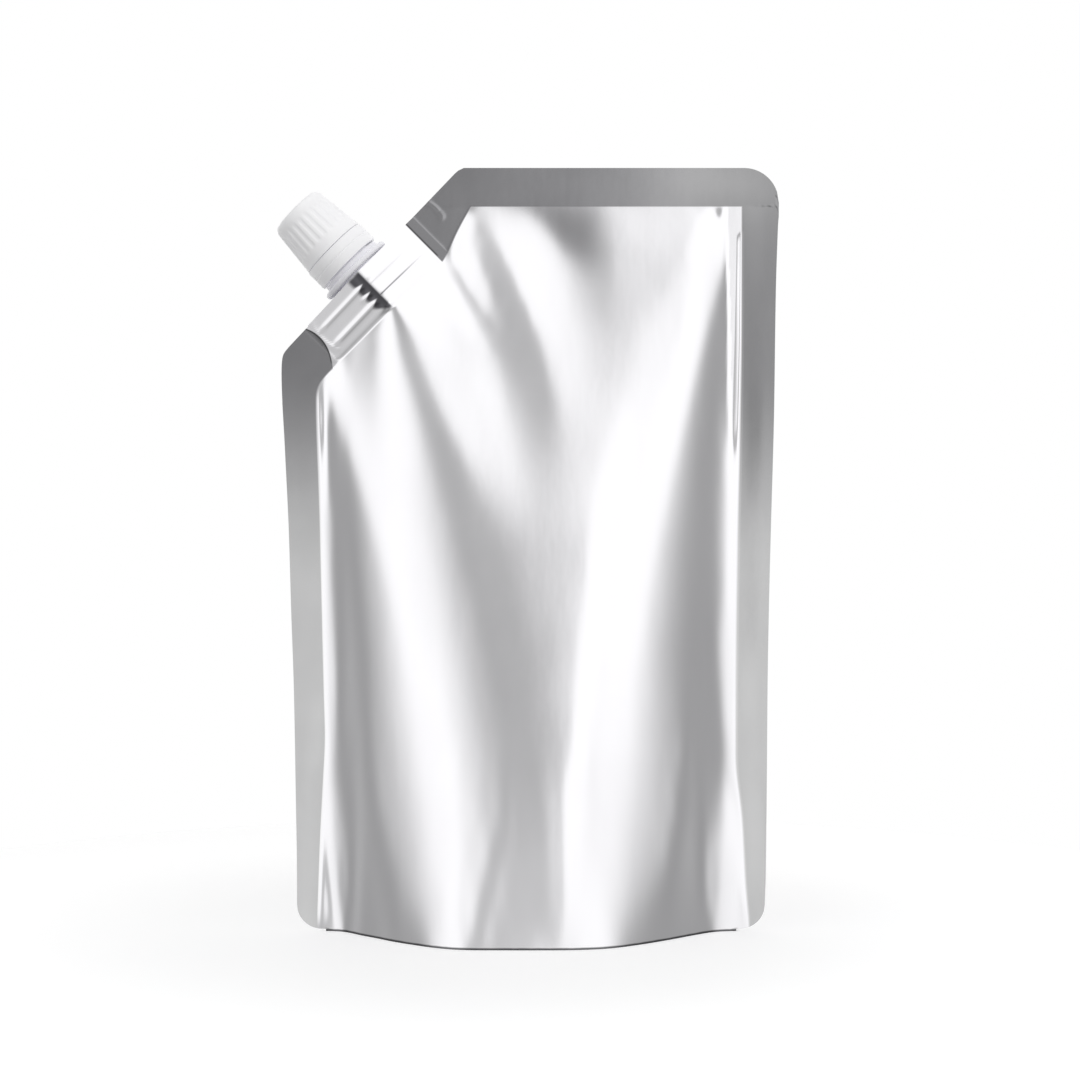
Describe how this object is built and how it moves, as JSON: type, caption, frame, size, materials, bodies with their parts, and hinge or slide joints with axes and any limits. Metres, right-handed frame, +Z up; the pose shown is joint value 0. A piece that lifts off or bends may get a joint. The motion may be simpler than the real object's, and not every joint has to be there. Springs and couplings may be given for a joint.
{
  "type": "hand soap refill pack",
  "caption": "Filled stand-up refill pouch in silver film with heat-sealed edges, a bottom gusset, a welded corner spout, a fluted screw cap and a tamper-evident band.",
  "frame": {"origin": "centre of the base, on the surface the pack stands on", "axes": "+Z up, front panel facing -Y, corner spout at the upper left (-X, +Z) seen from the front"},
  "size_m": [0.1414, 0.0612, 0.216],
  "materials": {
    "metallised_film": "satin",
    "natural_polyethylene": "satin",
    "white_polypropylene": "satin",
    "liner_foam": "matte"
  },
  "bodies": {
    "pack": {"pouch": "metallised_film", "spout": "natural_polyethylene", "tamper_band": "white_polypropylene"},
    "liner": {"cap_liner": "liner_foam"},
    "cap": {"cap": "white_polypropylene"}
  },
  "joints": [
    {"name": "cap_lift", "type": "slide", "parent": "pack", "child": "liner", "axis": [-0.7071, 0, 0.7071], "range_m": [0, 0.018]},
    {"name": "cap_turn", "type": "hinge", "parent": "liner", "child": "cap", "pos_m": [-0.0486, 0, 0.1864], "axis": [-0.7071, 0, 0.7071], "range_deg": [0, 1080]}
  ],
  "couplings": [
    {"joint": "cap_turn", "follows": "cap_lift", "rad_per_m": 1047.2}
  ]
}
